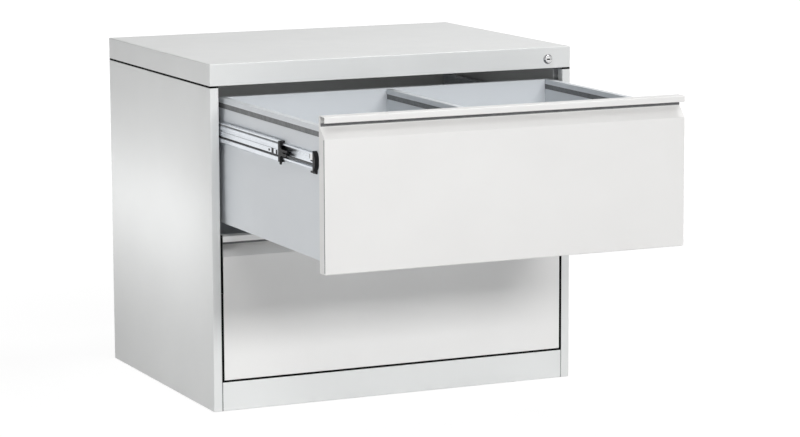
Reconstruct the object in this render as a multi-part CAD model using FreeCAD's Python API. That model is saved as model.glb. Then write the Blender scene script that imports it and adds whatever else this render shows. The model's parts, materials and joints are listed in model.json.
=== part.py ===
import FreeCAD, Part
import math
import os

# Two-drawer steel cabinet for two tracks of hanging files, its upper drawer pulled out.
# Millimetres, X to the right, Y to the back, Z up.
# The origin is on the floor, under the middle of the whole with the upper drawer pulled out.

# Carcass
width = 787.0
depth = 590.0
height = 690.0
sheet = 1.0
bend = 1.0
floor_gap = 2.0
stile_width = 18.0
stile_return = 20.0
rear_flange = 18.0
rear_panel_flange = 8.0
rear_panel_play = 0.5
cover_height = 43.0
cover_gap = 4.0
cover_lip = 4.0
plinth_height = 59.5
plinth_joint = 1.5
plinth_shelf = 34.0
plinth_foot = 15.0
tray_skirt = 25.0
tray_play = 1.0

# Rails under the cover
rail_setback = 36.0
rail_depth = 30.0
rail_height = 40.0
rail_tab = 65.0
rail_tab_inset = 12.0
rear_rail_setback = 16.0

# Posts that carry the slides
post_setback = 29.0
post_flange = 12.0
post_face = 40.0
post_head_room = 2.0
rear_post_end = 8.0

# Drawer fronts
front_gap = 4.0
side_gap = 5.0
front_depth = 26.0
grip_depth = 20.0
ledge_drop = 20.0
bevel_drop = 41.0
fascia = 12.0
fascia_hem = 4.0
liner_flange = 4.0

# Drawer boxes
pull = 508.0
box_length = 520.0
wall_thickness = 13.0
wall_lift = 20.0
rim_drop = 21.5
rim_height = 10.0
neck_height = 10.0
neck_thickness = 3.0
divider_drop = 2.0
floor_lift = 2.0
floor_flange = 16.0
rear_wall_thickness = 12.0
rear_wall_lip = 12.0

# Telescopic slides
slide_level = 201.0
slide_height = 50.0
slide_thickness = 12.7
slide_length = 500.0
middle_length = 480.0
drawer_rail_length = 490.0
middle_share = 0.71
rail_sheet = 1.2
ball_gap = 3.6
race_corner = 2.0
race_lip = 1.6
cabinet_rail_tip = 10.2
middle_rail_base = 2.0
middle_rail_tip = 11.0
drawer_rail_tip = 5.4
web_step = 1.0
web_step_height = 10.0
stop_length = 8.0
stop_height = 39.0
stop_tip = 11.2
stop_face = 0.6
stop_play = 0.5
stop_nub = 5.0
stop_nub_width = 6.0
lever_length = 22.0
lever_thickness = 2.0
lever_height = 20.0
cap_setback = 16.0
cap_length = 12.0
cap_height = 39.0
cap_face = 3.8
cap_play = 0.5
cap_hook = 5.0
cap_hook_sheet = 2.0
rail_slot_length = 5.0
rail_slot_height = 3.4
rail_slot_pitch = 9.0
rail_slot_inset = 14.0
rail_slot_count = 3

# Ball cages of the slides
ball_radius = 1.73
ball_corners = 6
balls_per_strip = 4
cage_sheet = 0.8
cage_margin = 0.2
cage_end_play = 2.0
inner_cage_length = 200.0

# Lock
lock_inset = 51.5
lock_drop = 24.5
collar_radius = 10.0
collar_height = 3.0
lock_radius = 8.5
lock_length = 20.0
lock_play = 0.1
plug_radius = 6.0
plug_play = 0.05
plug_sink = 0.4
key_slot = 1.6
key_slot_length = 8.0
key_slot_depth = 6.0
nut_flats = 22.0
nut_height = 3.5
cam_gap = 0.8
cam_thickness = 2.0
cam_margin = 2.5
crank_radius = 8.0
crank_turn = 90.0
crank_pin_radius = 2.0
crank_pin_play = 0.4

# Locking bar
bar_setback = 23.2
bar_thickness = 2.0
bar_width = 10.0
bar_inset = 5.5
bar_arm_height = 14.0
bar_foot_gap = 6.0
tongue_height = 9.0
tongue_gap = 1.5
catch_level = 60.0
catch_height = 14.0
catch_sheet = 2.0
catch_leg = 14.0
catch_play = 1.0
guide_height = 12.0
guide_wall = 2.0
guide_play = 0.3
guide_grip = 6.0

# Levelling feet
foot_radius = 15.0
foot_top_radius = 11.0
foot_height = 8.0
foot_stem_radius = 4.0
foot_inset = 46.0

# Places that follow from the sizes above
front_face = (pull - depth) / 2
rear_face = front_face + depth
half_width = width / 2
stile_edge = half_width - stile_width
cover_bottom = height - cover_height
side_top = cover_bottom - cover_gap
front_height = (side_top - plinth_height - 2 * front_gap) / 2
lower_base = plinth_height + front_gap
upper_base = lower_base + front_height + front_gap
front_half_width = stile_edge - side_gap
wall_outside = stile_edge - slide_thickness
wall_inside = wall_outside - wall_thickness
box_front = front_face + front_depth
box_rear = box_front + box_length
tray_top = plinth_height - sheet
cabinet_half = slide_height / 2
middle_half = cabinet_half - rail_sheet - ball_gap
drawer_half = middle_half - rail_sheet - ball_gap
drawer_rail_front = box_front + cap_setback + cap_length
middle_rail_front = drawer_rail_front + cap_play + stop_length
cabinet_rail_front = middle_rail_front + stop_play
travel = box_length
outer_race = (middle_rail_base + race_corner + cabinet_rail_tip - race_lip) / 2
inner_race = (drawer_rail_tip + middle_rail_tip - rail_sheet) / 2
outer_share = middle_share / 2
inner_share = (1 + middle_share) / 2
lock_x = half_width - lock_inset
lock_z = height - lock_drop
crank_rise = crank_radius * math.sin(math.radians(crank_turn / 2))
crank_reach = crank_radius * math.cos(math.radians(crank_turn / 2))
bar_outer = half_width - bar_inset
bar_inner = bar_outer - bar_width
bar_front = front_face + bar_setback
bar_back = bar_front + bar_thickness
bar_bottom = tray_top + bar_foot_gap
touching = 0.000001

pt = complex


def lifted(plane, a, b, c):
    """Space vector of a point in a plane and its distance along the third axis."""
    if plane == "xy":
        return FreeCAD.Vector(a, b, c)
    if plane == "xz":
        return FreeCAD.Vector(a, c, b)
    return FreeCAD.Vector(c, a, b)


def corner(before, here, after, radius):
    """Start, middle and end of the arc that rounds one corner."""
    if radius == 0:
        return here, None, here
    back = (before - here) / abs(before - here)
    ahead = (after - here) / abs(after - here)
    middle = (back + ahead) / abs(back + ahead)
    half = math.acos((back * ahead.conjugate()).real) / 2
    reach = radius / math.tan(half)
    centre = here + middle * radius / math.sin(half)
    return here + back * reach, centre - middle * radius, here + ahead * reach


def outline(points, radii, plane, level):
    """Closed wire through points of a plane, with rounded corners."""
    count = len(points)
    turns = [corner(points[i - 1], points[i], points[(i + 1) % count], radii[i]) for i in range(count)]
    edges = []
    for i, (start, middle, end) in enumerate(turns):
        last = turns[i - 1][2]
        if abs(start - last) > touching:
            ends = [lifted(plane, p.real, p.imag, level) for p in (last, start)]
            edges.append(Part.LineSegment(*ends).toShape())
        if middle is not None:
            bow = [lifted(plane, p.real, p.imag, level) for p in (start, middle, end)]
            edges.append(Part.Arc(*bow).toShape())
    return Part.Wire(edges)


def prism(points, plane, low, high, radii=None):
    """Straight solid with the given outline, from one level of the third axis to another."""
    wire = outline(points, radii or [0] * len(points), plane, low)
    return Part.Face(wire).extrude(lifted(plane, 0, 0, high - low))


def folded(path, plane, low, high, thickness=sheet, inside=bend):
    """Sheet bent along a path and lying on its left, drawn out along the third axis.

    With no bend radius inside, the corners are sharp, as on the rails and on sheets out of sight.
    """
    steps = [(b - a) / abs(b - a) for a, b in zip(path, path[1:])]
    lefts = [step * 1j for step in steps]
    near = [0]
    far = [0]
    offset = [path[0] + lefts[0] * thickness]
    for i in range(1, len(steps)):
        mitre = lefts[i - 1] + lefts[i]
        offset.append(path[i] + mitre * thickness * 2 / abs(mitre) ** 2)
        left_turn = (steps[i - 1].conjugate() * steps[i]).imag > 0
        near.append(inside + thickness if left_turn else inside)
        far.append(inside if left_turn else inside + thickness)
    offset.append(path[-1] + lefts[-1] * thickness)
    points = path + offset[::-1]
    radii = near + [0, 0] + far[::-1] if inside else None
    return prism(points, plane, low, high, radii)


def block(x_low, x_high, y_low, y_high, z_low, z_high):
    """Box between two corners."""
    base = FreeCAD.Vector(x_low, y_low, z_low)
    return Part.makeBox(x_high - x_low, y_high - y_low, z_high - z_low, base)


def bar_along_y(radius, x, z, y_low, y_high):
    """Round bar along Y."""
    return Part.makeCylinder(radius, y_high - y_low, FreeCAD.Vector(x, y_low, z), FreeCAD.Vector(0, 1, 0))


def handed(shape, side):
    """Piece made for the right side, mirrored for the left one."""
    if side == "right":
        return shape
    return shape.mirror(FreeCAD.Vector(0, 0, 0), FreeCAD.Vector(1, 0, 0))


def keep(name, shapes, shift=0):
    """Write a node, moved forward by the shift."""
    moved = []
    for shape in shapes:
        copy = shape.removeSplitter()
        copy.translate(FreeCAD.Vector(0, -shift, 0))
        moved.append(copy.Solids[0] if len(copy.Solids) == 1 else copy)
    whole = moved[0] if len(moved) == 1 else Part.makeCompound(moved)
    whole.exportStep("parts/" + name + ".step")


def side_panel():
    """Right side panel with its front stile and rear flange, seen in plan."""
    path = [
        pt(stile_edge, front_face + stile_return),
        pt(stile_edge, front_face),
        pt(half_width, front_face),
        pt(half_width, rear_face),
        pt(half_width - rear_flange, rear_face),
    ]
    return folded(path, "xy", floor_gap, side_top)


def rear_panel():
    """Rear sheet with a flange at each side, inside the side panels' rear flanges."""
    edge = half_width - sheet - rear_panel_play
    back = rear_face - sheet
    path = [
        pt(edge, back - rear_panel_flange),
        pt(edge, back),
        pt(-edge, back),
        pt(-edge, back - rear_panel_flange),
    ]
    return folded(path, "xy", floor_gap, side_top)


def base_tray():
    """Floor of the carcass, a tray turned upside down between the side panels."""
    edge = half_width - sheet
    front = front_face + stile_return + tray_play
    back = rear_face - 2 * sheet - rear_panel_flange - tray_play
    top = tray_top
    low = top - tray_skirt
    outer = block(-edge, edge, front, back, low, top)
    inner = block(-edge + sheet, edge - sheet, front + sheet, back - sheet, low - sheet, top - sheet)
    return outer.cut(inner)


def plinth_front():
    """Plinth sheet between the stiles, with a shelf over the tray and a foot above the floor."""
    path = [
        pt(front_face + plinth_shelf, plinth_height),
        pt(front_face, plinth_height),
        pt(front_face, floor_gap),
        pt(front_face + plinth_foot, floor_gap),
    ]
    edge = stile_edge - plinth_joint
    return folded(path, "yz", -edge, edge)


def top_cover():
    """Folded cover with a skirt all round, a lip under its front and back and the hole of the lock."""
    edge = half_width
    outer = block(-edge, edge, front_face, rear_face, cover_bottom, height)
    lifted_edges = [e for e in outer.Edges if e.BoundBox.ZMax > cover_bottom + touching]
    outer = outer.makeFillet(bend + sheet, lifted_edges)
    inner = block(
        -edge + sheet,
        edge - sheet,
        front_face + sheet,
        rear_face - sheet,
        cover_bottom + sheet,
        height - sheet,
    )
    mouth = block(
        -edge + sheet,
        edge - sheet,
        front_face + cover_lip,
        rear_face - cover_lip,
        cover_bottom - sheet,
        cover_bottom + 2 * sheet,
    )
    hole = bar_along_y(lock_radius + lock_play, lock_x, lock_z, front_face - sheet, front_face + 2 * sheet)
    return outer.cut(inner).cut(mouth).cut(hole)


def top_rail(front):
    """Channel under the cover, with a tab at each end that reaches down the side panel."""
    edge = half_width - sheet
    top = height - sheet
    path = [
        pt(front + rail_depth, top - rail_height),
        pt(front + rail_depth, top),
        pt(front, top),
        pt(front, top - rail_height),
    ]
    channel = folded(path, "yz", -edge, edge)
    tab_front = front + rail_tab_inset
    tab = block(edge - sheet, edge, tab_front, front + rail_depth, top - rail_tab, top - bend - sheet)
    return channel.fuse([tab, handed(tab, "left")])


def slide_post(start):
    """Hat-shaped post on the right side panel, its face in line with the stile's edge."""
    root = half_width - sheet
    face = stile_edge + sheet
    first = start + post_flange
    last = first + post_face
    path = [
        pt(root, start),
        pt(root, first),
        pt(face, first),
        pt(face, last),
        pt(root, last),
        pt(root, last + post_flange),
    ]
    return folded(path, "xy", tray_top, side_top - post_head_room, inside=0)


def channel_path(base, tip, half):
    """Path of a slide rail with cut corners and turned-in lips, from its web to its tips."""
    way = 1 if tip > base else -1
    lower = [
        pt(tip, race_lip - half),
        pt(tip - way * race_lip, -half),
        pt(base + way * race_corner, -half),
        pt(base, race_corner - half),
    ]
    if way > 0:
        return lower
    return [p.conjugate() for p in lower]


def rail(path, level, start, length):
    """Slide rail at the right side: its path is given from the post inwards and from its middle up."""
    placed = [pt(stile_edge - p.real, level + p.imag) for p in path]
    return folded(placed, "xz", start, start + length, rail_sheet, 0)


def cabinet_rail(level):
    """Outer member of a slide, fixed to the posts."""
    lower = channel_path(0, cabinet_rail_tip, cabinet_half)
    path = lower + [p.conjugate() for p in lower[::-1]]
    return rail(path, level, cabinet_rail_front, slide_length)


def middle_rail(level):
    """Middle member of a slide, with a stepped web and slots near its front end."""
    lower = channel_path(middle_rail_base, middle_rail_tip, middle_half)
    lower.append(pt(middle_rail_base, -web_step_height - web_step))
    lower.append(pt(middle_rail_base + web_step, -web_step_height))
    path = lower + [p.conjugate() for p in lower[::-1]]
    body = rail(path, level, middle_rail_front, middle_length)
    slots = []
    for i in range(rail_slot_count):
        y = middle_rail_front + rail_slot_inset + i * rail_slot_pitch
        low = level - rail_slot_height / 2
        high = low + rail_slot_height
        slots.append(block(stile_edge - slide_thickness, stile_edge, y, y + rail_slot_length, low, high))
    return body.cut(slots)


def drawer_rail(level):
    """Inner member of a slide, on the drawer's side wall."""
    upper = channel_path(slide_thickness, drawer_rail_tip, drawer_half)
    path = upper + [p.conjugate() for p in upper[::-1]]
    return rail(path, level, drawer_rail_front, drawer_rail_length)


def ball(x, y, z):
    """Ball drawn with few flat faces, between three rings of corners."""
    rings = []
    for lift in (-math.pi / 3, 0, math.pi / 3):
        reach = ball_radius * math.cos(lift)
        level = z + ball_radius * math.sin(lift)
        angles = [2 * math.pi * i / ball_corners for i in range(ball_corners)]
        around = [(x + reach * math.cos(a), y + reach * math.sin(a)) for a in angles]
        rings.append([FreeCAD.Vector(*place, level) for place in around])
    facets = [rings[0], rings[-1]]
    for low, high in zip(rings, rings[1:]):
        for i in range(ball_corners):
            facets.append([low[i - 1], low[i], high[i], high[i - 1]])
    return Part.makeSolid(Part.makeShell([Part.Face(Part.makePolygon(f + f[:1])) for f in facets]))


def ball_strips(race, half, level, middle, length):
    """Upper and lower strip of a ball cage with the balls that they hold, at the right side."""
    x = stile_edge - race
    reach = ball_radius + cage_margin
    pitch = length / balls_per_strip
    strips = []
    for z in (level - half, level + half):
        low = z - cage_sheet / 2
        strip = block(x - reach, x + reach, middle - length / 2, middle + length / 2, low, low + cage_sheet)
        places = [middle - length / 2 + (i + 0.5) * pitch for i in range(balls_per_strip)]
        strips.append(strip.fuse([ball(x, y, z) for y in places]))
    return strips


def outer_balls(level):
    """Cage between the cabinet rail and the middle rail, which still holds both at full travel."""
    low = cabinet_rail_front + cage_end_play
    high = middle_rail_front + middle_length - middle_share * travel - cage_end_play
    middle = (low + high) / 2 + outer_share * travel
    half = cabinet_half - rail_sheet - ball_gap / 2
    return ball_strips(outer_race, half, level, middle, high - low)


def inner_balls(level):
    """Cage between the middle rail and the drawer rail, which still holds both at full travel."""
    low = middle_rail_front - middle_share * travel
    high = drawer_rail_front + drawer_rail_length - travel
    middle = (low + high) / 2 + inner_share * travel
    half = middle_half - rail_sheet - ball_gap / 2
    return ball_strips(inner_race, half, level, middle, inner_cage_length)


def middle_stop(level):
    """Plastic stop at the middle rail's front end, with a nub below and a release lever in front."""
    half = stop_height / 2
    slot = drawer_half + stop_play
    slot_base = drawer_rail_tip - stop_play
    section = [
        pt(stop_face, -half),
        pt(stop_face, half),
        pt(stop_tip, half),
        pt(stop_tip, slot),
        pt(slot_base, slot),
        pt(slot_base, -slot),
        pt(stop_tip, -slot),
        pt(stop_tip, -half),
    ]
    placed = [pt(stile_edge - p.real, level + p.imag) for p in section]
    back = middle_rail_front
    front = back - stop_length
    frame = prism(placed, "xz", front, back)
    middle = (front + back) / 2
    nub_top = level - half
    nub = prism(
        [
            pt(middle - stop_nub_width / 2, nub_top),
            pt(middle - stop_nub_width / 4, nub_top - stop_nub),
            pt(middle + stop_nub_width / 4, nub_top - stop_nub),
            pt(middle + stop_nub_width / 2, nub_top),
        ],
        "yz",
        stile_edge - stop_face - stop_nub_width,
        stile_edge - stop_face - lever_thickness,
    )
    reach = lever_length
    lift = lever_height / 2
    lever = prism(
        [
            pt(front, level - lift),
            pt(front, level + lift),
            pt(front - reach / 2, level + lift / 2),
            pt(front - reach, level + lift / 2),
            pt(front - reach * 2 / 3, level),
            pt(front - reach * 5 / 6, level - lift * 2 / 3),
            pt(front - reach / 3, level - lift * 2 / 3),
        ],
        "yz",
        stile_edge - stop_face - lever_thickness,
        stile_edge - stop_face,
    )
    return frame.fuse([nub, lever])


def rail_cap(level):
    """Plastic bumper at the drawer rail's front end, bowed towards the drawer front, with a hook below."""
    half = cap_height / 2
    back = drawer_rail_front
    front = back - cap_length
    low = FreeCAD.Vector(0, back, level - half)
    bow = FreeCAD.Vector(0, front, level)
    high = FreeCAD.Vector(0, back, level + half)
    wire = Part.Wire([Part.Arc(low, bow, high).toShape(), Part.LineSegment(high, low).toShape()])
    body = Part.Face(wire).extrude(FreeCAD.Vector(slide_thickness - cap_face, 0, 0))
    body.translate(FreeCAD.Vector(wall_outside, 0, 0))
    foot = level - half
    root = back - cap_length / 3
    hook = prism(
        [
            pt(root, foot + cap_hook_sheet * 2),
            pt(root, foot - cap_hook_sheet / 2),
            pt(back + cap_hook, foot - cap_hook_sheet * 2),
            pt(back + cap_hook, foot - cap_hook_sheet),
            pt(back, foot + touching),
            pt(back, foot + cap_hook_sheet * 2),
        ],
        "yz",
        wall_outside,
        wall_outside + cap_hook,
    )
    return body.fuse(hook)


def front_skin(base):
    """Outer sheet of a drawer front with the bevel under the grip, closed by a return at each side."""
    top = base + front_height - sheet
    back = front_face + front_depth
    grip = front_face + grip_depth
    bevel_low = base + front_height - bevel_drop
    bevel_high = base + front_height - ledge_drop
    path = [pt(grip, top), pt(grip, bevel_high), pt(front_face, bevel_low), pt(front_face, base)]
    path.append(pt(back, base))
    face = folded(path, "yz", -front_half_width, front_half_width)
    inset = bend + sheet
    end_outline = [
        pt(front_face, base),
        pt(front_face, bevel_low),
        pt(grip, bevel_high),
        pt(grip, top),
        pt(back, top),
        pt(back, base),
    ]
    end = prism(end_outline, "yz", front_half_width - sheet, front_half_width, [inset, inset, bend, 0, 0, 0])
    return face.fuse([end, handed(end, "left")])


def grip_ledge(base):
    """Folded grip along the top of a drawer front, open downwards."""
    top = base + front_height
    path = [
        pt(front_face + front_depth, top),
        pt(front_face, top),
        pt(front_face, top - fascia),
        pt(front_face + fascia_hem, top - fascia),
    ]
    return folded(path, "yz", -front_half_width, front_half_width)


def front_liner(base):
    """Inner sheet that closes a drawer front from behind."""
    edge = front_half_width - sheet
    back = front_face + front_depth
    low = base + sheet
    high = base + front_height - sheet
    path = [pt(back - liner_flange, low), pt(back, low), pt(back, high), pt(back - liner_flange, high)]
    return folded(path, "yz", -edge, edge, inside=0)


def wall_outline(middle, thickness, low, high, inset):
    """Section of a double-skinned wall with its hanging rim, drawn in by the inset."""
    half = thickness / 2 - inset
    neck = neck_thickness / 2 - inset
    right = [
        pt(half, low + inset),
        pt(half, high - rim_height - neck_height - inset),
        pt(neck, high - rim_height - neck_height - inset),
        pt(neck, high - rim_height + inset),
        pt(half, high - rim_height + inset),
        pt(half, high - inset),
    ]
    left = [-p.conjugate() for p in right[::-1]]
    return [middle + p for p in right + left]


def drawer_wall(middle, base, top):
    """Double-skinned wall along the drawer, hollow, with the rim that carries the hanging files."""
    low = base + wall_lift
    section = wall_outline(middle, wall_thickness, low, top, 0)
    hollow = wall_outline(middle, wall_thickness, low, top, sheet)
    rounded = [0, 0, 0, 0, 0, bend, bend, 0, 0, 0, 0, 0]
    outer = prism(section, "xz", box_front, box_rear, rounded)
    inner = prism(hollow, "xz", box_front - sheet, box_rear + sheet)
    return outer.cut(inner)


def drawer_floor(base):
    """Floor of a drawer with a flange up each side wall."""
    low = base + wall_lift + floor_lift
    path = [
        pt(-wall_inside, low + floor_flange),
        pt(-wall_inside, low),
        pt(wall_inside, low),
        pt(wall_inside, low + floor_flange),
    ]
    return folded(path, "xz", box_front, box_rear - rear_wall_thickness, inside=0)


def divider(base, top):
    """Middle wall between the two tracks, standing on the drawer's floor."""
    low = base + wall_lift + floor_lift + sheet
    section = wall_outline(0, wall_thickness, low, top, 0)
    hollow = wall_outline(0, wall_thickness, low, top, sheet)
    rounded = [0, 0, 0, 0, 0, bend, bend, 0, 0, 0, 0, 0]
    back = box_rear - rear_wall_thickness
    outer = prism(section, "xz", box_front, back, rounded)
    inner = prism(hollow, "xz", box_front - sheet, back + sheet)
    return outer.cut(inner)


def rear_wall(base, top):
    """Rear sheet of a drawer, folded back and down along its top."""
    inside = box_rear - rear_wall_thickness
    path = [
        pt(box_rear, top - rear_wall_lip),
        pt(box_rear, top),
        pt(inside, top),
        pt(inside, base + wall_lift),
    ]
    return folded(path, "yz", -wall_inside, wall_inside)


def lock_catch(base):
    """Bracket behind a drawer front that the locking bar's tongue holds."""
    corner_x = wall_outside
    path = [
        pt(corner_x, box_front + catch_leg),
        pt(corner_x, box_front),
        pt(stile_edge - catch_play, box_front),
    ]
    middle = base + catch_level
    return folded(path, "xy", middle - catch_height / 2, middle + catch_height / 2, catch_sheet)


def lock_housing():
    """Barrel of the lock with its round collar in front of the cover."""
    start = front_face - collar_height
    end = front_face + lock_length
    collar = Part.makeCone(
        collar_radius - collar_height / 3,
        collar_radius,
        collar_height,
        FreeCAD.Vector(lock_x, start, lock_z),
        FreeCAD.Vector(0, 1, 0),
    )
    barrel = bar_along_y(lock_radius, lock_x, lock_z, front_face, end)
    bore = bar_along_y(plug_radius + plug_play, lock_x, lock_z, start - sheet, end + sheet)
    return collar.fuse(barrel).cut(bore)


def lock_nut():
    """Hexagon nut that holds the lock behind the cover's skirt."""
    corner_radius = nut_flats / 2 / math.cos(math.pi / 6)
    points = []
    for i in range(6):
        angle = i * math.pi / 3
        points.append(pt(lock_x + corner_radius * math.cos(angle), lock_z + corner_radius * math.sin(angle)))
    start = front_face + sheet
    nut = prism(points, "xz", start, start + nut_height)
    hole = bar_along_y(lock_radius + plug_play, lock_x, lock_z, start - sheet, start + nut_height + sheet)
    return nut.cut(hole)


def lock_plug():
    """Turning core of the lock with its key slot, level at rest."""
    start = front_face - collar_height + plug_sink
    end = front_face + lock_length + cam_gap
    core = bar_along_y(plug_radius, lock_x, lock_z, start, end)
    slot = block(
        lock_x - key_slot_length / 2,
        lock_x + key_slot_length / 2,
        start - sheet,
        start + key_slot_depth,
        lock_z - key_slot / 2,
        lock_z + key_slot / 2,
    )
    return core.cut(slot)


def lock_cam():
    """Disc on the core's rear end whose pin moves the locking bar."""
    start = front_face + lock_length + cam_gap
    end = start + cam_thickness
    disc = bar_along_y(crank_radius + cam_margin, lock_x, lock_z, start, end)
    pin = bar_along_y(crank_pin_radius, lock_x + crank_reach, lock_z - crank_rise, end, bar_back)
    return disc.fuse(pin)


def locking_bar():
    """Flat bar beside the drawers, with an arm to the lock and a tongue in front of each catch."""
    arm_middle = lock_z - crank_rise
    arm_low = arm_middle - bar_arm_height / 2
    arm_high = arm_middle + bar_arm_height / 2
    slot_half = crank_pin_radius + crank_pin_play
    slot_start = lock_x + crank_reach - slot_half
    arm_end = slot_start - cam_margin
    tongue_end = front_half_width + tongue_gap
    points = [pt(bar_outer, bar_bottom), pt(bar_outer, arm_high), pt(arm_end, arm_high), pt(arm_end, arm_low)]
    points.append(pt(bar_inner, arm_low))
    for base in (upper_base, lower_base):
        high = base + catch_level - catch_height / 2 - tongue_gap
        points += [pt(bar_inner, high), pt(tongue_end, high)]
        points += [pt(tongue_end, high - tongue_height), pt(bar_inner, high - tongue_height)]
    points.append(pt(bar_inner, bar_bottom))
    radii = [tongue_gap] * 4 + [0] + [0, tongue_gap, tongue_gap, 0] * 2 + [tongue_gap]
    plate = prism(points, "xz", bar_front, bar_back, radii)
    slot = prism(
        [
            pt(slot_start, arm_middle - slot_half),
            pt(lock_x + crank_radius + slot_half, arm_middle - slot_half),
            pt(lock_x + crank_radius + slot_half, arm_middle + slot_half),
            pt(slot_start, arm_middle + slot_half),
        ],
        "xz",
        bar_front - sheet,
        bar_back + sheet,
    )
    return plate.cut(slot)


def bar_guide(level):
    """Plastic clip on the side panel in which the locking bar slides."""
    root = half_width - sheet
    near = bar_front - guide_play
    far = bar_back + guide_play
    tip = bar_outer - guide_grip
    points = [
        pt(root, near - guide_wall),
        pt(root, far + guide_wall),
        pt(tip, far + guide_wall),
        pt(tip, far),
        pt(bar_outer + guide_play, far),
        pt(bar_outer + guide_play, near),
        pt(tip, near),
        pt(tip, near - guide_wall),
    ]
    return prism(points, "xy", level, level + guide_height)


def levelling_foot(x, y):
    """Tapered foot with a stem up to the tray."""
    points = [
        pt(0, 0),
        pt(foot_radius, 0),
        pt(foot_top_radius, foot_height),
        pt(foot_stem_radius, foot_height),
        pt(foot_stem_radius, tray_top - sheet),
        pt(0, tray_top - sheet),
    ]
    face = Part.Face(outline(points, [0] * len(points), "xz", 0))
    body = face.revolve(FreeCAD.Vector(0, 0, 0), FreeCAD.Vector(0, 0, 1), 360)
    body.translate(FreeCAD.Vector(x, y, 0))
    return body


def levelling_feet():
    """One foot near each corner."""
    feet = []
    for x in (half_width - foot_inset, foot_inset - half_width):
        for y in (front_face + foot_inset, rear_face - foot_inset):
            feet.append(levelling_foot(x, y))
    return feet


def write_carcass():
    """Nodes that stand still."""
    for side in ("left", "right"):
        keep(side + "_side_panel", [handed(side_panel(), side)])
    keep("rear_panel", [rear_panel()])
    keep("base_tray", [base_tray()])
    keep("plinth_front", [plinth_front()])
    keep("top_cover", [top_cover()])
    keep("front_top_rail", [top_rail(front_face + rail_setback)])
    keep("rear_top_rail", [top_rail(rear_face - rear_rail_setback - rail_depth)])
    front_post = front_face + post_setback
    rear_post = cabinet_rail_front + slide_length - rear_post_end - post_face - 2 * post_flange
    posts = []
    for side in ("left", "right"):
        for start in (front_post, rear_post):
            posts.append(handed(slide_post(start), side))
    keep("slide_posts", posts)
    keep("levelling_feet", levelling_feet())


def write_lock():
    """Lock, locking bar and the clips that guide it."""
    keep("lock_housing", [lock_housing()])
    keep("lock_nut", [lock_nut()])
    keep("lock_plug", [lock_plug()])
    keep("lock_cam", [lock_cam()])
    keep("locking_bar", [locking_bar()])
    levels = [base + front_height / 2 for base in (lower_base, upper_base)]
    keep("bar_guides", [bar_guide(level) for level in levels])


def write_slides(name, base, shift):
    """Three rails, two ball cages, a stop and a cap of the slide at each side of one drawer."""
    level = base + slide_level
    for side in ("left", "right"):
        label = name + "_" + side
        keep(label + "_cabinet_rail", [handed(cabinet_rail(level), side)])
        strips = [handed(strip, side) for strip in outer_balls(level)]
        keep(label + "_outer_balls", strips, shift * outer_share)
        keep(label + "_middle_rail", [handed(middle_rail(level), side)], shift * middle_share)
        keep(label + "_middle_stop", [handed(middle_stop(level), side)], shift * middle_share)
        strips = [handed(strip, side) for strip in inner_balls(level)]
        keep(label + "_inner_balls", strips, shift * inner_share)
        keep(label + "_drawer_rail", [handed(drawer_rail(level), side)], shift)
    keep(name + "_rail_caps", [handed(rail_cap(level), side) for side in ("left", "right")], shift)


def write_drawer(name, base, shift):
    """Sheet pieces of one drawer, moved forward by the shift."""
    top = base + front_height - rim_drop
    wall_middle = wall_inside + wall_thickness / 2
    keep(name + "_front_skin", [front_skin(base)], shift)
    keep(name + "_front_liner", [front_liner(base)], shift)
    keep(name + "_grip_ledge", [grip_ledge(base)], shift)
    keep(name + "_left_wall", [drawer_wall(-wall_middle, base, top)], shift)
    keep(name + "_right_wall", [drawer_wall(wall_middle, base, top)], shift)
    keep(name + "_rear_wall", [rear_wall(base, top)], shift)
    keep(name + "_drawer_floor", [drawer_floor(base)], shift)
    keep(name + "_divider", [divider(base, top - divider_drop)], shift)
    keep(name + "_lock_catch", [lock_catch(base)], shift)


os.makedirs("parts", exist_ok=True)
write_carcass()
write_lock()
for drawer, drawer_base, drawer_shift in (("upper", upper_base, pull), ("lower", lower_base, 0)):
    write_slides(drawer, drawer_base, drawer_shift)
    write_drawer(drawer, drawer_base, drawer_shift)
print("fronts", front_height, "bases", lower_base, upper_base)
print("lock", lock_x, lock_z, "bar lift", 2 * crank_rise)
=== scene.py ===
import json
import math

import bmesh
import bpy
from mathutils import Matrix, Vector


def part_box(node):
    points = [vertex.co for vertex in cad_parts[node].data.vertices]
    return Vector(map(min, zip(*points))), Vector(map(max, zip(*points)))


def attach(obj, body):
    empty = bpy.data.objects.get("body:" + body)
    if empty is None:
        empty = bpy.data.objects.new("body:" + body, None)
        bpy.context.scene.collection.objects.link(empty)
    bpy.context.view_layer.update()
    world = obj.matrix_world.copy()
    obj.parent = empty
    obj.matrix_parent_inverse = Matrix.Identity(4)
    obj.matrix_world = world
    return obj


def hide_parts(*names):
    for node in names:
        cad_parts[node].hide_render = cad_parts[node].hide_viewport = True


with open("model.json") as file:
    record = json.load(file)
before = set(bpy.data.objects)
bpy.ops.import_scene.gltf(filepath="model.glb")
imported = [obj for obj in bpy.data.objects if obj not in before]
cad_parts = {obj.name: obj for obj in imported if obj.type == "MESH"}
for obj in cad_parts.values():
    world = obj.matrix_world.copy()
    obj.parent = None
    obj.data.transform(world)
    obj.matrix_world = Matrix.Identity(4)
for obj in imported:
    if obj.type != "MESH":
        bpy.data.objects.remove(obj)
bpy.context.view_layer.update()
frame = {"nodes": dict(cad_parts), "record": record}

# Lengths are in metres, and MM turns millimetres into them
MM = 0.001
FLAT_ANGLE = math.radians(1)
SHARP_ANGLE = math.radians(35)
MERGE_DISTANCE = 0.01 * MM
EDGE_ROUNDING = 0.45 * MM
ROUNDING_STEPS = 2

# Photograph's camera
CAMERA_PLACE = (-2.4827, -5.4878, 1.3159)
CAMERA_YAW = 0.4292
CAMERA_PITCH = 0.1582
CAMERA_ROLL = -0.0038
CAMERA_LENS = 136.14
CAMERA_REACH = 100.0
SENSOR_WIDTH = 36.0

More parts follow.
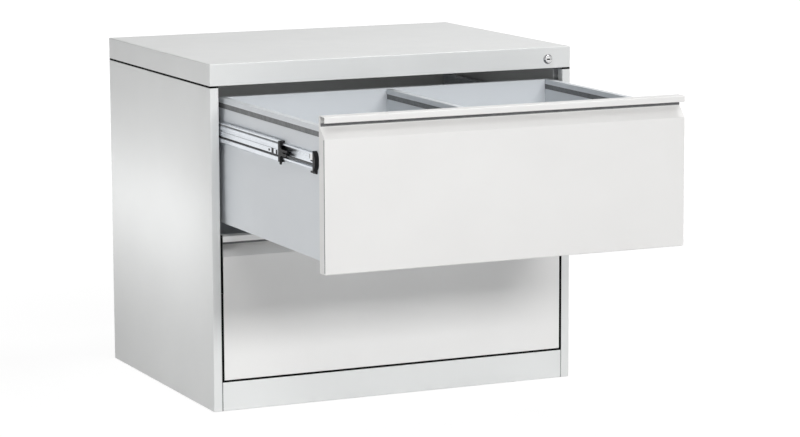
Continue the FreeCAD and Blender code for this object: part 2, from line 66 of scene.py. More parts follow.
# Even light of the surroundings, and the larger lamps: place, target, width, height and power
WORLD_LIGHT = 0.05
LAMPS = (
    ("front_box", (0.8, -6.5, 2.65), (0.1, -0.3, 0.35), 2.6, 1.0, 240),
    ("left_box", (-2.5, -0.7, 0.4), (-0.36, 0.0, 0.4), 0.8, 0.6, 11.7),
    ("left_edge_box", (-2.4, -1.1, 0.3), (-0.39, -0.04, 0.4), 0.12, 0.5, 3),
    ("top_box", (1.1, -0.1, 3.1), (0.0, 0.1, 0.6), 0.8, 0.8, 34),
    ("top_left_box", (-1.1, -1.5, 2.5), (0.0, -0.1, 0.6), 1.0, 1.0, 14),
)
# Weak lamps close to the cabinet that aren't seen in reflections
STRIP_LAMPS = (
    ("left_strip", (-0.60, 0.42, 0.36), (-0.39, 0.42, 0.36), 0.9, 0.06, 0.62),
    ("low_strip", (0.0, -0.26, 0.012), (0.0, -0.04, 0.06), 0.8, 0.02, 0.09),
    ("bay_strip", (-0.05, 0.1, 0.60), (0.12, 0.54, 0.58), 0.5, 0.04, 0.13),
)

# White floor: half its size, its own shade and glow, and how much of the glow it shows near and far
FLOOR_HALF = 30.0
FLOOR_SHADE = 0.8
FLOOR_ROUGHNESS = 0.9
FLOOR_GLOW = 1.15
GLOW_NEAR = (1.0, 0.8)
GLOW_FAR = (3.5, 1.0)

# Noise values that are carried to the ends of a range
NOISE_ENDS = (0.3, 0.7)

SLOT_OF_NODE = {part["node"]: part["material_slot"] for part in frame["record"]["subparts"]}
BODY_OF_NODE = {
    node: body for body, nodes in frame["record"]["behaviour"]["bodies"].items() for node in nodes
}


def set_input(node, name, value):
    """Set a socket's own value, if the node has that socket."""
    if name in node.inputs:
        node.inputs[name].default_value = value


class Finish:
    """Material with one shader and the few texture nodes that the finishes share."""

    def __init__(self, name, color, roughness, metallic=0.0):
        self.material = bpy.data.materials.new(name)
        self.material.use_nodes = True
        self.nodes = self.material.node_tree.nodes
        self.links = self.material.node_tree.links
        self.shader = self.nodes["Principled BSDF"]
        self.color = color
        set_input(self.shader, "Base Color", (*color, 1))
        set_input(self.shader, "Roughness", roughness)
        set_input(self.shader, "Metallic", metallic)
        self.place = self.nodes.new("ShaderNodeTexCoord").outputs["Object"]

    def noise(self, scale, stretch=(1, 1, 1), detail=2.0):
        """Noise in object space, drawn out along an axis where its stretch is small."""
        mapping = self.nodes.new("ShaderNodeMapping")
        mapping.inputs["Scale"].default_value = stretch
        texture = self.nodes.new("ShaderNodeTexNoise")
        set_input(texture, "Scale", scale)
        set_input(texture, "Detail", detail)
        self.links.new(self.place, mapping.inputs["Vector"])
        self.links.new(mapping.outputs["Vector"], texture.inputs["Vector"])
        return texture.outputs["Fac"]

    def span(self, value, low, high):
        """Noise value carried to a range."""
        node = self.nodes.new("ShaderNodeMapRange")
        set_input(node, "From Min", NOISE_ENDS[0])
        set_input(node, "From Max", NOISE_ENDS[1])
        set_input(node, "To Min", low)
        set_input(node, "To Max", high)
        self.links.new(value, node.inputs["Value"])
        return node.outputs["Result"]

    def vary_color(self, value, change):
        """Base colour between a darker and a lighter shade."""
        mix = self.nodes.new("ShaderNodeMix")
        mix.data_type = "RGBA"
        share, darker, lighter = mix.inputs[0], mix.inputs[6], mix.inputs[7]
        darker.default_value = (*[c * (1 - change) for c in self.color], 1)
        lighter.default_value = (*[min(1, c * (1 + change)) for c in self.color], 1)
        self.links.new(self.span(value, 0, 1), share)
        self.links.new(mix.outputs[2], self.shader.inputs["Base Color"])

    def vary_roughness(self, value, low, high):
        """Roughness between two values."""
        self.links.new(self.span(value, low, high), self.shader.inputs["Roughness"])

    def bump(self, value, strength, distance):
        """Fine relief."""
        node = self.nodes.new("ShaderNodeBump")
        set_input(node, "Strength", strength)
        set_input(node, "Distance", distance)
        self.links.new(value, node.inputs["Height"])
        self.links.new(node.outputs["Normal"], self.shader.inputs["Normal"])


def powder_coat(name, color):
    """Satin powder coat with a fine orange peel."""
    finish = Finish(name, color, 0.42)
    set_input(finish.shader, "Coat Weight", 0.2)
    set_input(finish.shader, "Coat Roughness", 0.16)
    finish.vary_color(finish.noise(7.0), 0.012)
    finish.vary_roughness(finish.noise(24.0), 0.38, 0.46)
    finish.bump(finish.noise(900.0, detail=1.0), 0.12, 0.05 * MM)
    return finish.material


def zinc_plate(name, color):
    """Bright zinc on rolled steel, with streaks along the rolling direction."""
    finish = Finish(name, color, 0.28, 1.0)
    streaks = finish.noise(60.0, stretch=(9, 0.25, 9), detail=4.0)
    finish.vary_color(finish.noise(40.0, detail=3.0), 0.04)
    finish.vary_roughness(streaks, 0.24, 0.34)
    finish.bump(streaks, 0.05, 0.05 * MM)
    return finish.material


def nickel(name, color):
    """Satin nickel."""
    finish = Finish(name, color, 0.2, 1.0)
    finish.vary_roughness(finish.noise(500.0), 0.16, 0.28)
    finish.bump(finish.noise(1500.0), 0.04, 0.02 * MM)
    return finish.material


def moulded_black(name, color):
    """Matt moulded plastic, and the matt dark grey that paints shade."""
    finish = Finish(name, color, 0.5)
    set_input(finish.shader, "Specular IOR Level", 0.25)
    finish.vary_color(finish.noise(80.0), 0.15)
    finish.vary_roughness(finish.noise(300.0), 0.42, 0.58)
    finish.bump(finish.noise(1800.0, detail=3.0), 0.15, 0.03 * MM)
    return finish.material


def flat_black_finish(name, color):
    """Flat black without a shine, for blocks that paint deep shade in gaps and openings."""
    finish = Finish(name, color, 0.85)
    set_input(finish.shader, "Specular IOR Level", 0.1)
    finish.vary_color(finish.noise(60.0), 0.2)
    finish.vary_roughness(finish.noise(400.0), 0.8, 0.95)
    return finish.material


FINISHES = {
    "carcass_paint": powder_coat("carcass_paint", (0.77, 0.78, 0.775)),
    "front_paint": powder_coat("front_paint", (0.83, 0.825, 0.815)),
    "drawer_paint": powder_coat("drawer_paint", (0.72, 0.75, 0.78)),
    "zinc_steel": zinc_plate("zinc_steel", (0.68, 0.71, 0.75)),
    # Darkened steel: on the lock's collar it paints the dark reflection the collar shows
    "bearing_steel": nickel("bearing_steel", (0.30, 0.30, 0.31)),
    "lock_chrome": nickel("lock_chrome", (0.68, 0.68, 0.68)),
    "black_plastic": moulded_black("black_plastic", (0.012, 0.012, 0.013)),
    # Painted shade: this flat black fills gaps and openings that are dark only from shade
    "painted_shade_black": flat_black_finish("painted_shade_black", (0.005, 0.005, 0.005)),
    # Dark grey, used mostly for strips that paint shade in recesses, grooves, joints and edges
    "grey_seal": moulded_black("grey_seal", (0.19, 0.195, 0.20)),
}


def finish_cad_nodes():
    """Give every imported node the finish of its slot."""
    for name, obj in frame["nodes"].items():
        obj.data.materials.clear()
        obj.data.materials.append(FINISHES[SLOT_OF_NODE[name]])


def new_piece(name, mesh, slot, body, nodes=(), finish=None):
    """Object with a finish that rides on a body and stands for the given nodes."""
    piece = bpy.data.objects.new(name, mesh)
    bpy.context.scene.collection.objects.link(piece)
    mesh.materials.clear()
    mesh.materials.append(FINISHES[finish or slot])
    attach(piece, body)
    if nodes:
        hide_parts(*nodes)
    return piece


def soften(piece):
    """Smooth shading that keeps flat faces flat."""
    for face in piece.data.polygons:
        face.use_smooth = True
    piece.data.set_sharp_from_angle(angle=SHARP_ANGLE)
    weights = piece.modifiers.new("flat_faces", "WEIGHTED_NORMAL")
    weights.keep_sharp = True


def round_edges(bm, edges, rounding):
    """Round the given edges."""
    bmesh.ops.bevel(
        bm,
        geom=edges,
        offset=rounding,
        offset_type="OFFSET",
        segments=ROUNDING_STEPS,
        profile=0.5,
        affect="EDGES",
        clamp_overlap=True,
    )


def finished_mesh(name, bm):
    """Mesh made from a bmesh, which is freed."""
    mesh = bpy.data.meshes.new(name)
    bm.to_mesh(mesh)
    bm.free()
    return mesh


def rounded_mesh(name, mesh):
    """Copy of a mesh with merged flat faces and rounded edges."""
    bm = bmesh.new()
    bm.from_mesh(mesh)
    bmesh.ops.remove_doubles(bm, verts=bm.verts, dist=MERGE_DISTANCE)
    bmesh.ops.dissolve_limit(bm, angle_limit=FLAT_ANGLE, verts=bm.verts, edges=bm.edges)
    edges = [e for e in bm.edges if len(e.link_faces) == 2 and e.calc_face_angle() > SHARP_ANGLE]
    round_edges(bm, edges, EDGE_ROUNDING)
    return finished_mesh(name, bm)


def dress(node):
    """Piece with rounded edges in place of a node."""
    name = node + "_piece"
    mesh = rounded_mesh(name, frame["nodes"][node].data)
    soften(new_piece(name, mesh, SLOT_OF_NODE[node], BODY_OF_NODE[node], [node]))


def make_camera():
    """Camera at the photograph's place and angle."""
    data = bpy.data.cameras.new("photo_camera")
    data.lens = CAMERA_LENS
    data.sensor_width = SENSOR_WIDTH
    data.sensor_fit = "HORIZONTAL"
    data.clip_end = CAMERA_REACH
    camera = bpy.data.objects.new("photo_camera", data)
    bpy.context.scene.collection.objects.link(camera)
    turn = Matrix.Rotation(-CAMERA_YAW, 3, "Z")
    tilt = Matrix.Rotation(math.pi / 2 - CAMERA_PITCH, 3, "X")
    roll = Matrix.Rotation(CAMERA_ROLL, 3, "Z")
    camera.location = CAMERA_PLACE
    camera.rotation_euler = (turn @ tilt @ roll).to_euler()
    bpy.context.scene.camera = camera


def area_light(name, place, target, width, height, power):
    """Rectangular lamp at a place that faces a target and isn't seen by the camera."""
    data = bpy.data.lights.new(name, "AREA")
    data.shape = "RECTANGLE"
    data.size = width
    data.size_y = height
    data.energy = power
    light = bpy.data.objects.new(name, data)
    bpy.context.scene.collection.objects.link(light)
    light.visible_camera = False
    light.location = place
    way = Vector(target) - Vector(place)
    light.rotation_euler = way.to_track_quat("-Z", "Y").to_euler()
    return light


def seen_directly(nodes, links):
    """Value that is 1 for camera, glossy and transmission rays."""
    path = nodes.new("ShaderNodeLightPath")
    value = path.outputs["Is Camera Ray"]
    for name in ("Is Glossy Ray", "Is Transmission Ray"):
        larger = nodes.new("ShaderNodeMath")
        larger.operation = "MAXIMUM"
        links.new(value, larger.inputs[0])
        links.new(path.outputs[name], larger.inputs[1])
        value = larger.outputs[0]
    return value


def make_world(strength):
    """Even soft light, and a white background where it is seen directly."""
    world = bpy.data.worlds.new("studio")
    world.use_nodes = True
    bpy.context.scene.world = world
    nodes = world.node_tree.nodes
    links = world.node_tree.links
    lighting = nodes["Background"]
    lighting.inputs["Color"].default_value = (1, 1, 1, 1)
    lighting.inputs["Strength"].default_value = strength
    white = nodes.new("ShaderNodeBackground")
    white.inputs["Color"].default_value = (1, 1, 1, 1)
    white.inputs["Strength"].default_value = 1.0
    mix = nodes.new("ShaderNodeMixShader")
    links.new(seen_directly(nodes, links), mix.inputs[0])
    links.new(lighting.outputs[0], mix.inputs[1])
    links.new(white.outputs[0], mix.inputs[2])
    links.new(mix.outputs[0], nodes["World Output"].inputs["Surface"])


def make_floor():
    """White floor that keeps a faint shadow."""
    mesh = bpy.data.meshes.new("floor")
    signs = ((-1, -1), (1, -1), (1, 1), (-1, 1))
    corners = [(x * FLOOR_HALF, y * FLOOR_HALF, 0) for x, y in signs]
    mesh.from_pydata(corners, [], [(0, 1, 2, 3)])
    floor = bpy.data.objects.new("floor", mesh)
    bpy.context.scene.collection.objects.link(floor)
    material = bpy.data.materials.new("floor_white")
    material.use_nodes = True
    nodes = material.node_tree.nodes
    links = material.node_tree.links
    shader = nodes["Principled BSDF"]
    set_input(shader, "Base Color", (FLOOR_SHADE, FLOOR_SHADE, FLOOR_SHADE, 1))
    set_input(shader, "Roughness", FLOOR_ROUGHNESS)
    set_input(shader, "Specular IOR Level", 0.0)
    glow = nodes.new("ShaderNodeEmission")
    glow.inputs["Color"].default_value = (1, 1, 1, 1)
    glow.inputs["Strength"].default_value = FLOOR_GLOW
    place = nodes.new("ShaderNodeTexCoord")
    distance = nodes.new("ShaderNodeVectorMath")
    distance.operation = "LENGTH"
    links.new(place.outputs["Object"], distance.inputs[0])
    whiteness = nodes.new("ShaderNodeMapRange")
    for end, (reach, value) in (("Min", GLOW_NEAR), ("Max", GLOW_FAR)):
        set_input(whiteness, "From " + end, reach)
        set_input(whiteness, "To " + end, value)
    links.new(distance.outputs["Value"], whiteness.inputs["Value"])
    share = nodes.new("ShaderNodeMath")
    share.operation = "MULTIPLY"
    links.new(whiteness.outputs["Result"], share.inputs[1])
    links.new(seen_directly(nodes, links), share.inputs[0])
    mix = nodes.new("ShaderNodeMixShader")
    links.new(share.outputs[0], mix.inputs[0])
    links.new(shader.outputs[0], mix.inputs[1])
    links.new(glow.outputs[0], mix.inputs[2])
    links.new(mix.outputs[0], nodes["Material Output"].inputs["Surface"])
    mesh.materials.append(material)


def light_studio():
    """Surroundings, lamps and floor."""
    make_world(WORLD_LIGHT)
    for lamp in LAMPS:
        area_light(*lamp)
    for lamp in STRIP_LAMPS:
        area_light(*lamp).visible_glossy = False
    make_floor()


def at(node):
    """Vectors to the lowest and highest corner of a CAD node at rest."""
    low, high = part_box(node)
    return Vector(low), Vector(high)


def offset_path(path, thickness):
    """Points on the left of an open path, at the thickness from it."""
    made = []
    for i, here in enumerate(path):
        before = path[max(i - 1, 0)]
        after = path[min(i + 1, len(path) - 1)]
        into = (here - before).normalized() if i else (after - here).normalized()
        out = (after - here).normalized() if i < len(path) - 1 else into
        middle = (into + out).normalized()
        reach = thickness / max(0.5, middle.dot(into))
        made.append(here + Vector((-middle.y, middle.x)) * reach)
    return made


def drawn_out(name, outline, start, end):
    """Mesh of an XZ outline drawn out along Y."""
    count = len(outline)
    verts = [(p.x, y, p.y) for y in (start, end) for p in outline]
    faces = [(i, (i + 1) % count, count + (i + 1) % count, count + i) for i in range(count)]
    faces += [tuple(range(count))[::-1], tuple(range(count, 2 * count))]
    bm = bmesh.new()
    corners = [bm.verts.new(v) for v in verts]
    for face in faces:
        bm.faces.new([corners[i] for i in face])
    bmesh.ops.recalc_face_normals(bm, faces=bm.faces)
    return finished_mesh(name, bm)


def box_mesh(name, low, high, rounding):
    """Mesh of a box with rounded edges."""
    bm = bmesh.new()
    bmesh.ops.create_cube(bm, size=1)
    size = Vector(high) - Vector(low)
    middle = (Vector(high) + Vector(low)) / 2
    for vert in bm.verts:
        vert.co = middle + Vector([a * b for a, b in zip(vert.co, size)])
    round_edges(bm, bm.edges[:], rounding)
    return finished_mesh(name, bm)


def lathe(name, profile, center, steps=48, bored=False):
    """Mesh of a (radius, depth) profile turned about an axis along Y.

    Its ends are closed, or the profile is a closed loop round an open bore.
    """
    bm = bmesh.new()
    rings = []
    for radius, depth in profile:
        ring = []
        for i in range(steps):
            angle = 2 * math.pi * i / steps
            place = center + Vector((radius * math.cos(angle), depth, radius * math.sin(angle)))
            ring.append(bm.verts.new(place))
        rings.append(ring)
    pairs = list(zip(rings, rings[1:]))
    if bored:
        pairs.append((rings[-1], rings[0]))
    else:
        bm.faces.new(rings[0])
        bm.faces.new(rings[-1])
    for near, far in pairs:
        for i in range(steps):
            bm.faces.new((near[i - 1], near[i], far[i], far[i - 1]))
    bmesh.ops.recalc_face_normals(bm, faces=bm.faces)
    return finished_mesh(name, bm)


def block_piece(name, start, end, slot, body, rounding, finish):
    """Block with rounded edges between two opposite corners."""
    ends = [sorted(pair) for pair in zip(start, end)]
    mesh = box_mesh(name, [pair[0] for pair in ends], [pair[1] for pair in ends], rounding)
    soften(new_piece(name, mesh, slot, body, finish=finish))


# Slide sections in millimetres: (distance from the post's face, height above the rail's middle)
MIDDLE_SECTION = [
    (11.0, -18.6),
    (9.4, -20.2),
    (3.6, -20.2),
    (2.1, -18.8),
    (1.9, -15.0),
    (2.1, -11.3),
    (4.2, -10.9),
    (4.2, -7.4),
    (2.6, -7.0),
    (2.6, 2.4),
    (3.2, 2.9),
    (3.2, 5.2),
    (2.1, 5.8),
    (1.9, 9.4),
    (2.1, 13.0),
    (3.6, 13.5),
    (3.6, 16.3),
    (2.1, 16.8),
    (2.1, 18.8),
    (3.6, 20.2),
    (9.4, 20.2),
    (11.0, 18.6),
]
DRAWER_SECTION = [
    (5.4, 12.8),
    (5.4, 14.0),
    (5.7, 15.0),
    (6.6, 15.4),
    (11.2, 15.4),
    (12.3, 15.0),
    (12.7, 14.0),
    (12.7, -14.0),
    (12.3, -15.0),
    (11.2, -15.4),
    (6.6, -15.4),
    (5.4, -14.0),
    (5.4, -10.8),
]
RAIL_SHEET = 1.2
RAIL_ROUNDING = 0.2
RAIL_SHARP_ANGLE = math.radians(60)
# Strips of painted shade in the rails' grooves in millimetres: depth, lowest and highest place,
# finish
GROOVE_STRIP = 0.4
GROOVE_SETBACK = 1.0
MIDDLE_GROOVE_SHADES = (
    (3.3, 13.7, 16.1, "grey_seal"),
    (3.9, -10.7, -7.5, "black_plastic"),
    (2.5, 2.1, 2.7, "grey_seal"),
)
DRAWER_GROOVE_SHADES = ((11.4, -10.6, -5.4, "grey_seal"), (11.3, -6.8, -5.4, "black_plastic"))
# Black plates of painted shade for the slots' openings in millimetres: start and end behind the
# middle rail's front, lowest and highest place
SLOT_DEPTH = 2.4
MIDDLE_SLOT_SHADES = ((7, 15, -6.8, 1.0), (26, 36, -6.8, 2.2), (44, 51, -4.6, -0.6))
# Tips of the stop's lever in millimetres: start and end ahead of that front, and the same places
TIP_DEPTH = 0.7
TIP_THICKNESS = 1.8
LEVER_TIPS = (("upper", 20.0, 43.0, 1.0, 5.4), ("lower", 20.0, 39.0, -7.0, -1.6))
# Clip on the drawer rail and hook under its cap in millimetres:
# start and end behind the rail's front, depth, lowest and highest place, thickness, finish
CLIP_PARTS = (
    ("clip", 3.0, 27.0, 10.6, 0.0, 12.5, 0.9, "lock_chrome"),
    ("clip_end", 27.0, 30.5, 10.8, 2.0, 10.0, 0.9, "grey_seal"),
    ("clip_foot", 6.0, 25.0, 10.8, -2.6, -0.2, 0.9, "black_plastic"),
    ("cap_hook", -3.0, 24.0, 10.5, -23.4, -20.4, 2.1, "black_plastic"),
)

# Roundings of strips, of the black blocks that paint shade in gaps, and of the thin lines of
# painted shade
SHADE_ROUNDING = 0.2 * MM
STRIP_ROUNDING = 0.1 * MM
LINE_SHADE_ROUNDING = 0.04 * MM
LINE_SHADE_THICKNESS = 0.12 * MM


class Slide:
    """Places on one slide: its side, the post's face and the rail's middle height."""

    def __init__(self, drawer, side):
        self.label = drawer + "_" + side
        self.way = -1 if side == "left" else 1
        low, high = at(self.label + "_cabinet_rail")
        self.face = max(abs(low.x), abs(high.x))
        self.level = (low.z + high.z) / 2

    def place(self, depth, height):
        """XZ point from millimetres inwards of the post's face and above the rail's middle."""
        return Vector((self.way * (self.face - depth * MM), self.level + height * MM))

    def rail(self, node, section, body):
        """Rail with rolled races in place of a node."""
        name = node + "_piece"
        path = [self.place(*p) for p in section]
        outline = path + offset_path(path, self.way * RAIL_SHEET * MM)[::-1]
        low, high = at(node)
        mesh = drawn_out(name, outline, low.y, high.y)
        piece = new_piece(name, mesh, "zinc_steel", body, [node])
        soften(piece)
        rounding = piece.modifiers.new("edges", "BEVEL")
        rounding.width = RAIL_ROUNDING * MM
        rounding.segments = ROUNDING_STEPS
        rounding.angle_limit = RAIL_SHARP_ANGLE

    def strip(self, name, span, depth, heights, body, finish, thickness=GROOVE_STRIP):
        """Thin block against a rail: its span along Y in metres, the rest in millimetres."""
        near = self.place(depth, heights[0])
        far = self.place(depth + thickness, heights[1])
        slot = finish if finish in SLOT_OF_NODE.values() else "black_plastic"
        start = (near.x, span[0], near.y)
        end = (far.x, span[1], far.y)
        block_piece(name, start, end, slot, body, STRIP_ROUNDING, finish)


def dress_slide(drawer, side):
    """Rolled rails with dark strips of painted shade in their grooves and slots, and with lever
    tips, clip and hook.
    """
    slide = Slide(drawer, side)
    middle = slide.label + "_middle_rail"
    middle_body = slide.label + "_middle"
    inner = slide.label + "_drawer_rail"
    inner_body = drawer + "_drawer"
    parts = (
        (middle, MIDDLE_SECTION, MIDDLE_GROOVE_SHADES, middle_body),
        (inner, DRAWER_SECTION, DRAWER_GROOVE_SHADES, inner_body),
    )
    for node, section, grooves, body in parts:
        slide.rail(node, section, body)
        low, high = at(node)
        span = (low.y + GROOVE_SETBACK * MM, high.y - GROOVE_SETBACK * MM)
        # Painted shade: dark strips in the grooves
        for i, (depth, bottom, top, finish) in enumerate(grooves):
            slide.strip(node + "_groove_shade_" + str(i), span, depth, (bottom, top), body, finish)
    front = at(middle)[0].y
    for i, (start, end, bottom, top) in enumerate(MIDDLE_SLOT_SHADES):
        name = middle + "_slot_shade_" + str(i)
        span = (front + start * MM, front + end * MM)
        slide.strip(name, span, SLOT_DEPTH, (bottom, top), middle_body, "black_plastic")
    for part, start, end, bottom, top in LEVER_TIPS:
        name = slide.label + "_lever_tip_" + part
        span = (front - end * MM, front - start * MM)
        heights = (bottom, top)
        slide.strip(name, span, TIP_DEPTH, heights, middle_body, "black_plastic", TIP_THICKNESS)
    front = at(inner)[0].y
    for part, start, end, depth, bottom, top, thickness, finish in CLIP_PARTS:
        name = slide.label + "_" + part
        span = (front + start * MM, front + end * MM)
        slide.strip(name, span, depth, (bottom, top), inner_body, finish, thickness)


LOCK_COLLAR_LENGTH = 4.0 * MM
LOCK_CLEARANCE = 0.1 * MM
LOCK_RIM = 0.4 * MM
LOCK_BARREL_STEP = 1.5 * MM
LOCK_FACE_STEP = 2.3 * MM
KEY_SLOT_HALF = (3.9 * MM, 1.4 * MM)
KEY_SLOT_ROUNDING = 0.08 * MM


def dress_lock():
    """Lock with a conical collar in darkened steel that paints its dark reflection, a satin face
    and a dark key slot.
    """
    low, high = at("lock_housing")
    center = Vector(((low.x + high.x) / 2, 0, (low.z + high.z) / 2))
    radius = (high.x - low.x) / 2
    plug_low, plug_high = at("lock_plug")
    plug = (plug_high.x - plug_low.x) / 2
    cover = at("top_cover")[0].y
    front = cover - LOCK_COLLAR_LENGTH
    bore = plug + LOCK_CLEARANCE
    barrel = radius - LOCK_BARREL_STEP
    face = radius - LOCK_FACE_STEP
    collar = [
        (bore, high.y),
        (barrel, high.y),
        (barrel, cover),
        (radius, cover),
        (radius, cover - LOCK_RIM),
        (face, front + 0.3 * MM),
        (face - 0.3 * MM, front),
        (bore, front),
    ]
    # Painted reflection: the collar's darkened steel stands in for the dark reflection it shows
    mesh = lathe("lock_housing_piece", collar, center, bored=True)
    soften(new_piece("lock_housing_piece", mesh, "bearing_steel", "cabinet", ["lock_housing"]))
    ring = [
        (bore, front + 0.2 * MM),
        (face - 0.5 * MM, front + 0.2 * MM),
        (face - 0.5 * MM, front - 0.2 * MM),
        (face - 0.8 * MM, front - 0.4 * MM),
        (bore + 0.2 * MM, front - 0.4 * MM),
        (bore, front - 0.2 * MM),
    ]
    mesh = lathe("lock_face_ring", ring, center, bored=True)
    soften(new_piece("lock_face_ring", mesh, "lock_chrome", "cabinet"))
    core = [
        (plug, plug_high.y),
        (plug, front + 0.5 * MM),
        (plug - 0.4 * MM, front + 0.1 * MM),
    ]
    mesh = lathe("lock_plug_piece", core, center)
    soften(new_piece("lock_plug_piece", mesh, "lock_chrome", "lock_core", ["lock_plug"]))
    # Painted shade: a black plate stands in for the key slot's dark opening
    middle = center + Vector((0, front + 0.05 * MM, 0))
    half = Vector((KEY_SLOT_HALF[0], 0.1 * MM, KEY_SLOT_HALF[1]))
    mesh = box_mesh("lock_key_slot_shade", middle - half, middle + half, KEY_SLOT_ROUNDING)
    soften(new_piece("lock_key_slot_shade", mesh, "black_plastic", "lock_core", finish="painted_shade_black"))


def gap_shade(name, start, end, body="cabinet", rounding=SHADE_ROUNDING):
    """Black block that paints the shade in a gap."""
    block_piece(name, start, end, "black_plastic", body, rounding, "painted_shade_black")


def grey_shade_strip(name, start, end, body, rounding=STRIP_ROUNDING):
    """Dark grey strip that paints shade."""
    block_piece(name, start, end, "black_plastic", body, rounding, "grey_seal")


# Black blocks of painted shade in the gap under the cover
COVER_SHADE_SETBACK = 0.7 * MM
COVER_SHADE_WIDTH = 2.5 * MM
COVER_SHADE_DEPTH = 2 * MM


def shade_cover_gap():
    """Black strips of painted shade that fill the gap between the cover and the side panels, set
    back a little.
    """
    cover_low, cover_high = at("top_cover")
    low_z = at("left_side_panel")[1].z
    high_z = cover_low.z
    edge = cover_high.x - COVER_SHADE_SETBACK
    root = edge - COVER_SHADE_WIDTH
    front = cover_low.y + COVER_SHADE_SETBACK
    back = cover_high.y - COVER_SHADE_SETBACK
    stile = at("upper_right_cabinet_rail")[1].x
    for name, way in (("left", -1), ("right", 1)):
        gap_shade("cover_shade_" + name, (way * edge, front, low_z), (way * root, back, high_z))
        start = (way * root, front, low_z)
        end = (way * stile, front + COVER_SHADE_DEPTH, high_z)
        gap_shade("cover_shade_front_" + name, start, end)


SCREW_ROWS = 5
SCREW_INSET = 8 * MM
SCREW_FIRST = 0.06
SCREW_STEPS = 24
SCREW_PROFILE = (
    (3.4 * MM, 0),
    (3.4 * MM, 0.5 * MM),
    (2.6 * MM, 1.3 * MM),
    (1.2 * MM, 1.6 * MM),
)


def rear_screws():
    """Flat screw heads that hold the rear panel to the side panels' flanges."""
    low, high = at("rear_panel")
    back = at("right_side_panel")[1].y
    for side, way in (("left", -1), ("right", 1)):
        for i in range(SCREW_ROWS):
            share = SCREW_FIRST + (1 - 2 * SCREW_FIRST) * i / (SCREW_ROWS - 1)
            z = low.z + (high.z - low.z) * share
            center = Vector((way * (high.x - SCREW_INSET), back, z))
            name = "rear_screw_" + side + "_" + str(i)
            mesh = lathe(name, SCREW_PROFILE, center, SCREW_STEPS)
            soften(new_piece(name, mesh, "zinc_steel", "cabinet"))


# Black blocks of painted shade in the front gaps, and grey ones in the plinth's joints
FRONT_SHADE_SETBACK = 1.2 * MM
FRONT_SHADE_DEPTH = 4 * MM
FRONT_SHADE_GAP = 0.3 * MM
STILE_GAP = 0.6 * MM
SHADE_OVERRUN = 2 * MM
SLIDE_ROOM = 3 * MM
SIDE_STRIP = 0.4 * MM
SIDE_STRIP_SPAN = (0.8 * MM, 14 * MM)
STILE_STRIP = 0.5 * MM
STILE_STRIP_SPAN = (0.3 * MM, 18 * MM)
JOINT_SPAN = (0.8 * MM, 3 * MM)
BEVEL_FOOT = 41 * MM


def shade_front_gaps():
    """Black blocks of painted shade in the gaps beside and under the lower front, open where the
    slide passes, and grey painted shade in the plinth's joints.
    """
    rail_low, rail_high = at("lower_right_cabinet_rail")
    stile = rail_high.x
    slide_bottom = rail_low.z - SLIDE_ROOM
    slide_top = rail_high.z + SLIDE_ROOM
    front_low, front_high = at("lower_front_skin")
    edge = front_high.x
    near = front_low.y + FRONT_SHADE_SETBACK
    far = near + FRONT_SHADE_DEPTH
    bottom = at("plinth_front")[1].z
    top = at("lower_grip_ledge")[1].z + SHADE_OVERRUN
    for part, low, high in (("low", bottom, slide_bottom), ("high", slide_top, top)):
        end = (-edge - FRONT_SHADE_GAP, far, high)
        gap_shade("front_seal_left_" + part, (-stile, near, low), end)
    # Painted shade: a thin black strip on the lower drawer's side where its slide passes
    start = (-edge - SIDE_STRIP, front_low.y + SIDE_STRIP_SPAN[0], slide_bottom)
    end = (-edge, front_low.y + SIDE_STRIP_SPAN[1], slide_top)
    gap_shade("lower_front_shade_left", start, end, "lower_drawer", STRIP_ROUNDING)
    start = (stile - STILE_STRIP, front_low.y + STILE_STRIP_SPAN[0], bottom)
    end = (stile, front_low.y + STILE_STRIP_SPAN[1], front_high.z - BEVEL_FOOT)
    gap_shade("front_shade_right", start, end, rounding=STRIP_ROUNDING)
    start = (-edge, near, bottom)
    end = (stile - STILE_GAP, far, front_low.z - FRONT_SHADE_GAP)
    gap_shade("front_shade_bottom", start, end)
    # Painted shade: grey strips in the plinth's joints
    plinth_low, plinth_high = at("plinth_front")
    for name, way in (("left", -1), ("right", 1)):
        start = (way * stile, front_low.y + JOINT_SPAN[0], plinth_low.z)
        end = (way * plinth_high.x, front_low.y + JOINT_SPAN[1], plinth_high.z)
        grey_shade_strip("plinth_joint_shade_" + name, start, end, "cabinet")


# Hanging rims in millimetres: the rim's height, and the neck's height and half thickness
RIM = 10.0
NECK = 10.0
NECK_HALF = 1.5
# Grey strips of painted shade in the recesses: their setback, end gap and gap in millimetres
RECESS_SHADE_SETBACK = 0.9
RECESS_SHADE_END_GAP = 0.5
RECESS_SHADE_GAP = 0.05


def shade_rim_recesses(drawer):
    """Grey strips of painted shade in the recess under each hanging rim."""
    for wall in ("left_wall", "right_wall", "divider"):
        low, high = at(drawer + "_" + wall)
        middle = (low.x + high.x) / 2
        half = (high.x - low.x) / 2 - RECESS_SHADE_SETBACK * MM
        top = high.z - (RIM + RECESS_SHADE_GAP) * MM
        bottom = high.z - (RIM + NECK - RECESS_SHADE_GAP) * MM
        front = low.y + RECESS_SHADE_END_GAP * MM
        back = high.y - RECESS_SHADE_END_GAP * MM
        for side, way in (("left", -1), ("right", 1)):
            start = (middle + way * NECK_HALF * MM, front, bottom)
            end = (middle + way * half, back, top)
            grey_shade_strip(drawer + "_" + wall + "_liner_" + side, start, end, drawer + "_drawer")


# Grip in millimetres: the inner face of its fascia ahead of its rear, the strip of painted shade
# behind the fascia's lower edge, and the lines of painted shade on its end faces
GRIP_FACE = 6.0
GRIP_STRIP = 0.5
GRIP_STRIP_INSET = 1.2
GRIP_STRIP_HEIGHTS = (-19.4, -13.5)
GRIP_LINE_SETBACK = 1.2
GRIP_LINE_TOP = -1.5
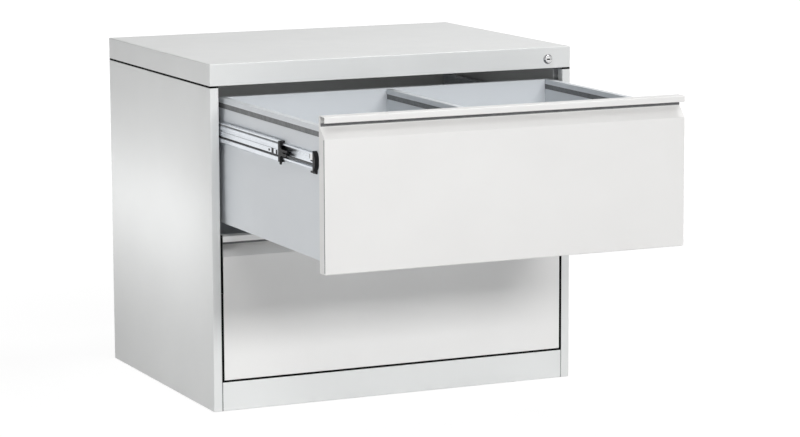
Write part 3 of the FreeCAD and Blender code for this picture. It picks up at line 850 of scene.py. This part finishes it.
# Length and height of each line
GRIP_SHADE_LINES = (("line", 16.0, 1.2), ("edge", 1.4, 9.5))


def shade_grip(drawer):
    """Painted shade: a dark strip behind the fascia's lower edge, and dark lines on the grip's
    ends.
    """
    body = drawer + "_drawer"
    low, high = at(drawer + "_grip_ledge")
    face = high.y - GRIP_FACE * MM
    bottom, top = [high.z + height * MM for height in GRIP_STRIP_HEIGHTS]
    start = (low.x + GRIP_STRIP_INSET * MM, face, bottom)
    end = (high.x - GRIP_STRIP_INSET * MM, face - GRIP_STRIP * MM, top)
    grey_shade_strip(drawer + "_grip_strip", start, end, body)
    near = low.y + GRIP_LINE_SETBACK * MM
    top = high.z + GRIP_LINE_TOP * MM
    for side, edge, way in (("left", low.x, -1), ("right", high.x, 1)):
        for part, length, height in GRIP_SHADE_LINES:
            name = drawer + "_grip_" + part + "_" + side
            start = (edge, near, top - height * MM)
            end = (edge + way * LINE_SHADE_THICKNESS, near + length * MM, top)
            grey_shade_strip(name, start, end, body, LINE_SHADE_ROUNDING)


# Dark lines of painted shade along the fronts' folded side edges
EDGE_SHADE_SPAN = (1.6 * MM, 4.2 * MM)
EDGE_SHADE_FOOT = 3 * MM


def shade_front_edges(drawer):
    """Dark line of painted shade along each folded side edge of a drawer front."""
    low, high = at(drawer + "_front_skin")
    for side, edge, way in (("left", low.x, -1), ("right", high.x, 1)):
        start = (edge, low.y + EDGE_SHADE_SPAN[0], low.z + EDGE_SHADE_FOOT)
        end = (edge + way * LINE_SHADE_THICKNESS, low.y + EDGE_SHADE_SPAN[1], high.z - BEVEL_FOOT)
        grey_shade_strip(drawer + "_front_edge_shade_" + side, start, end, drawer + "_drawer", LINE_SHADE_ROUNDING)


# Nodes that aren't dressed: they are rebuilt, or show as they are
REBUILT = ("middle_rail", "drawer_rail", "lock_housing", "lock_plug", "_balls")
finish_cad_nodes()
for node_name in frame["nodes"]:
    if not node_name.endswith(REBUILT):
        dress(node_name)
for drawer_name in ("upper", "lower"):
    shade_rim_recesses(drawer_name)
    shade_grip(drawer_name)
    shade_front_edges(drawer_name)
    for side_name in ("left", "right"):
        dress_slide(drawer_name, side_name)
dress_lock()
shade_cover_gap()
shade_front_gaps()
rear_screws()
make_camera()
light_studio()
bpy.context.scene.view_settings.view_transform = "Standard"
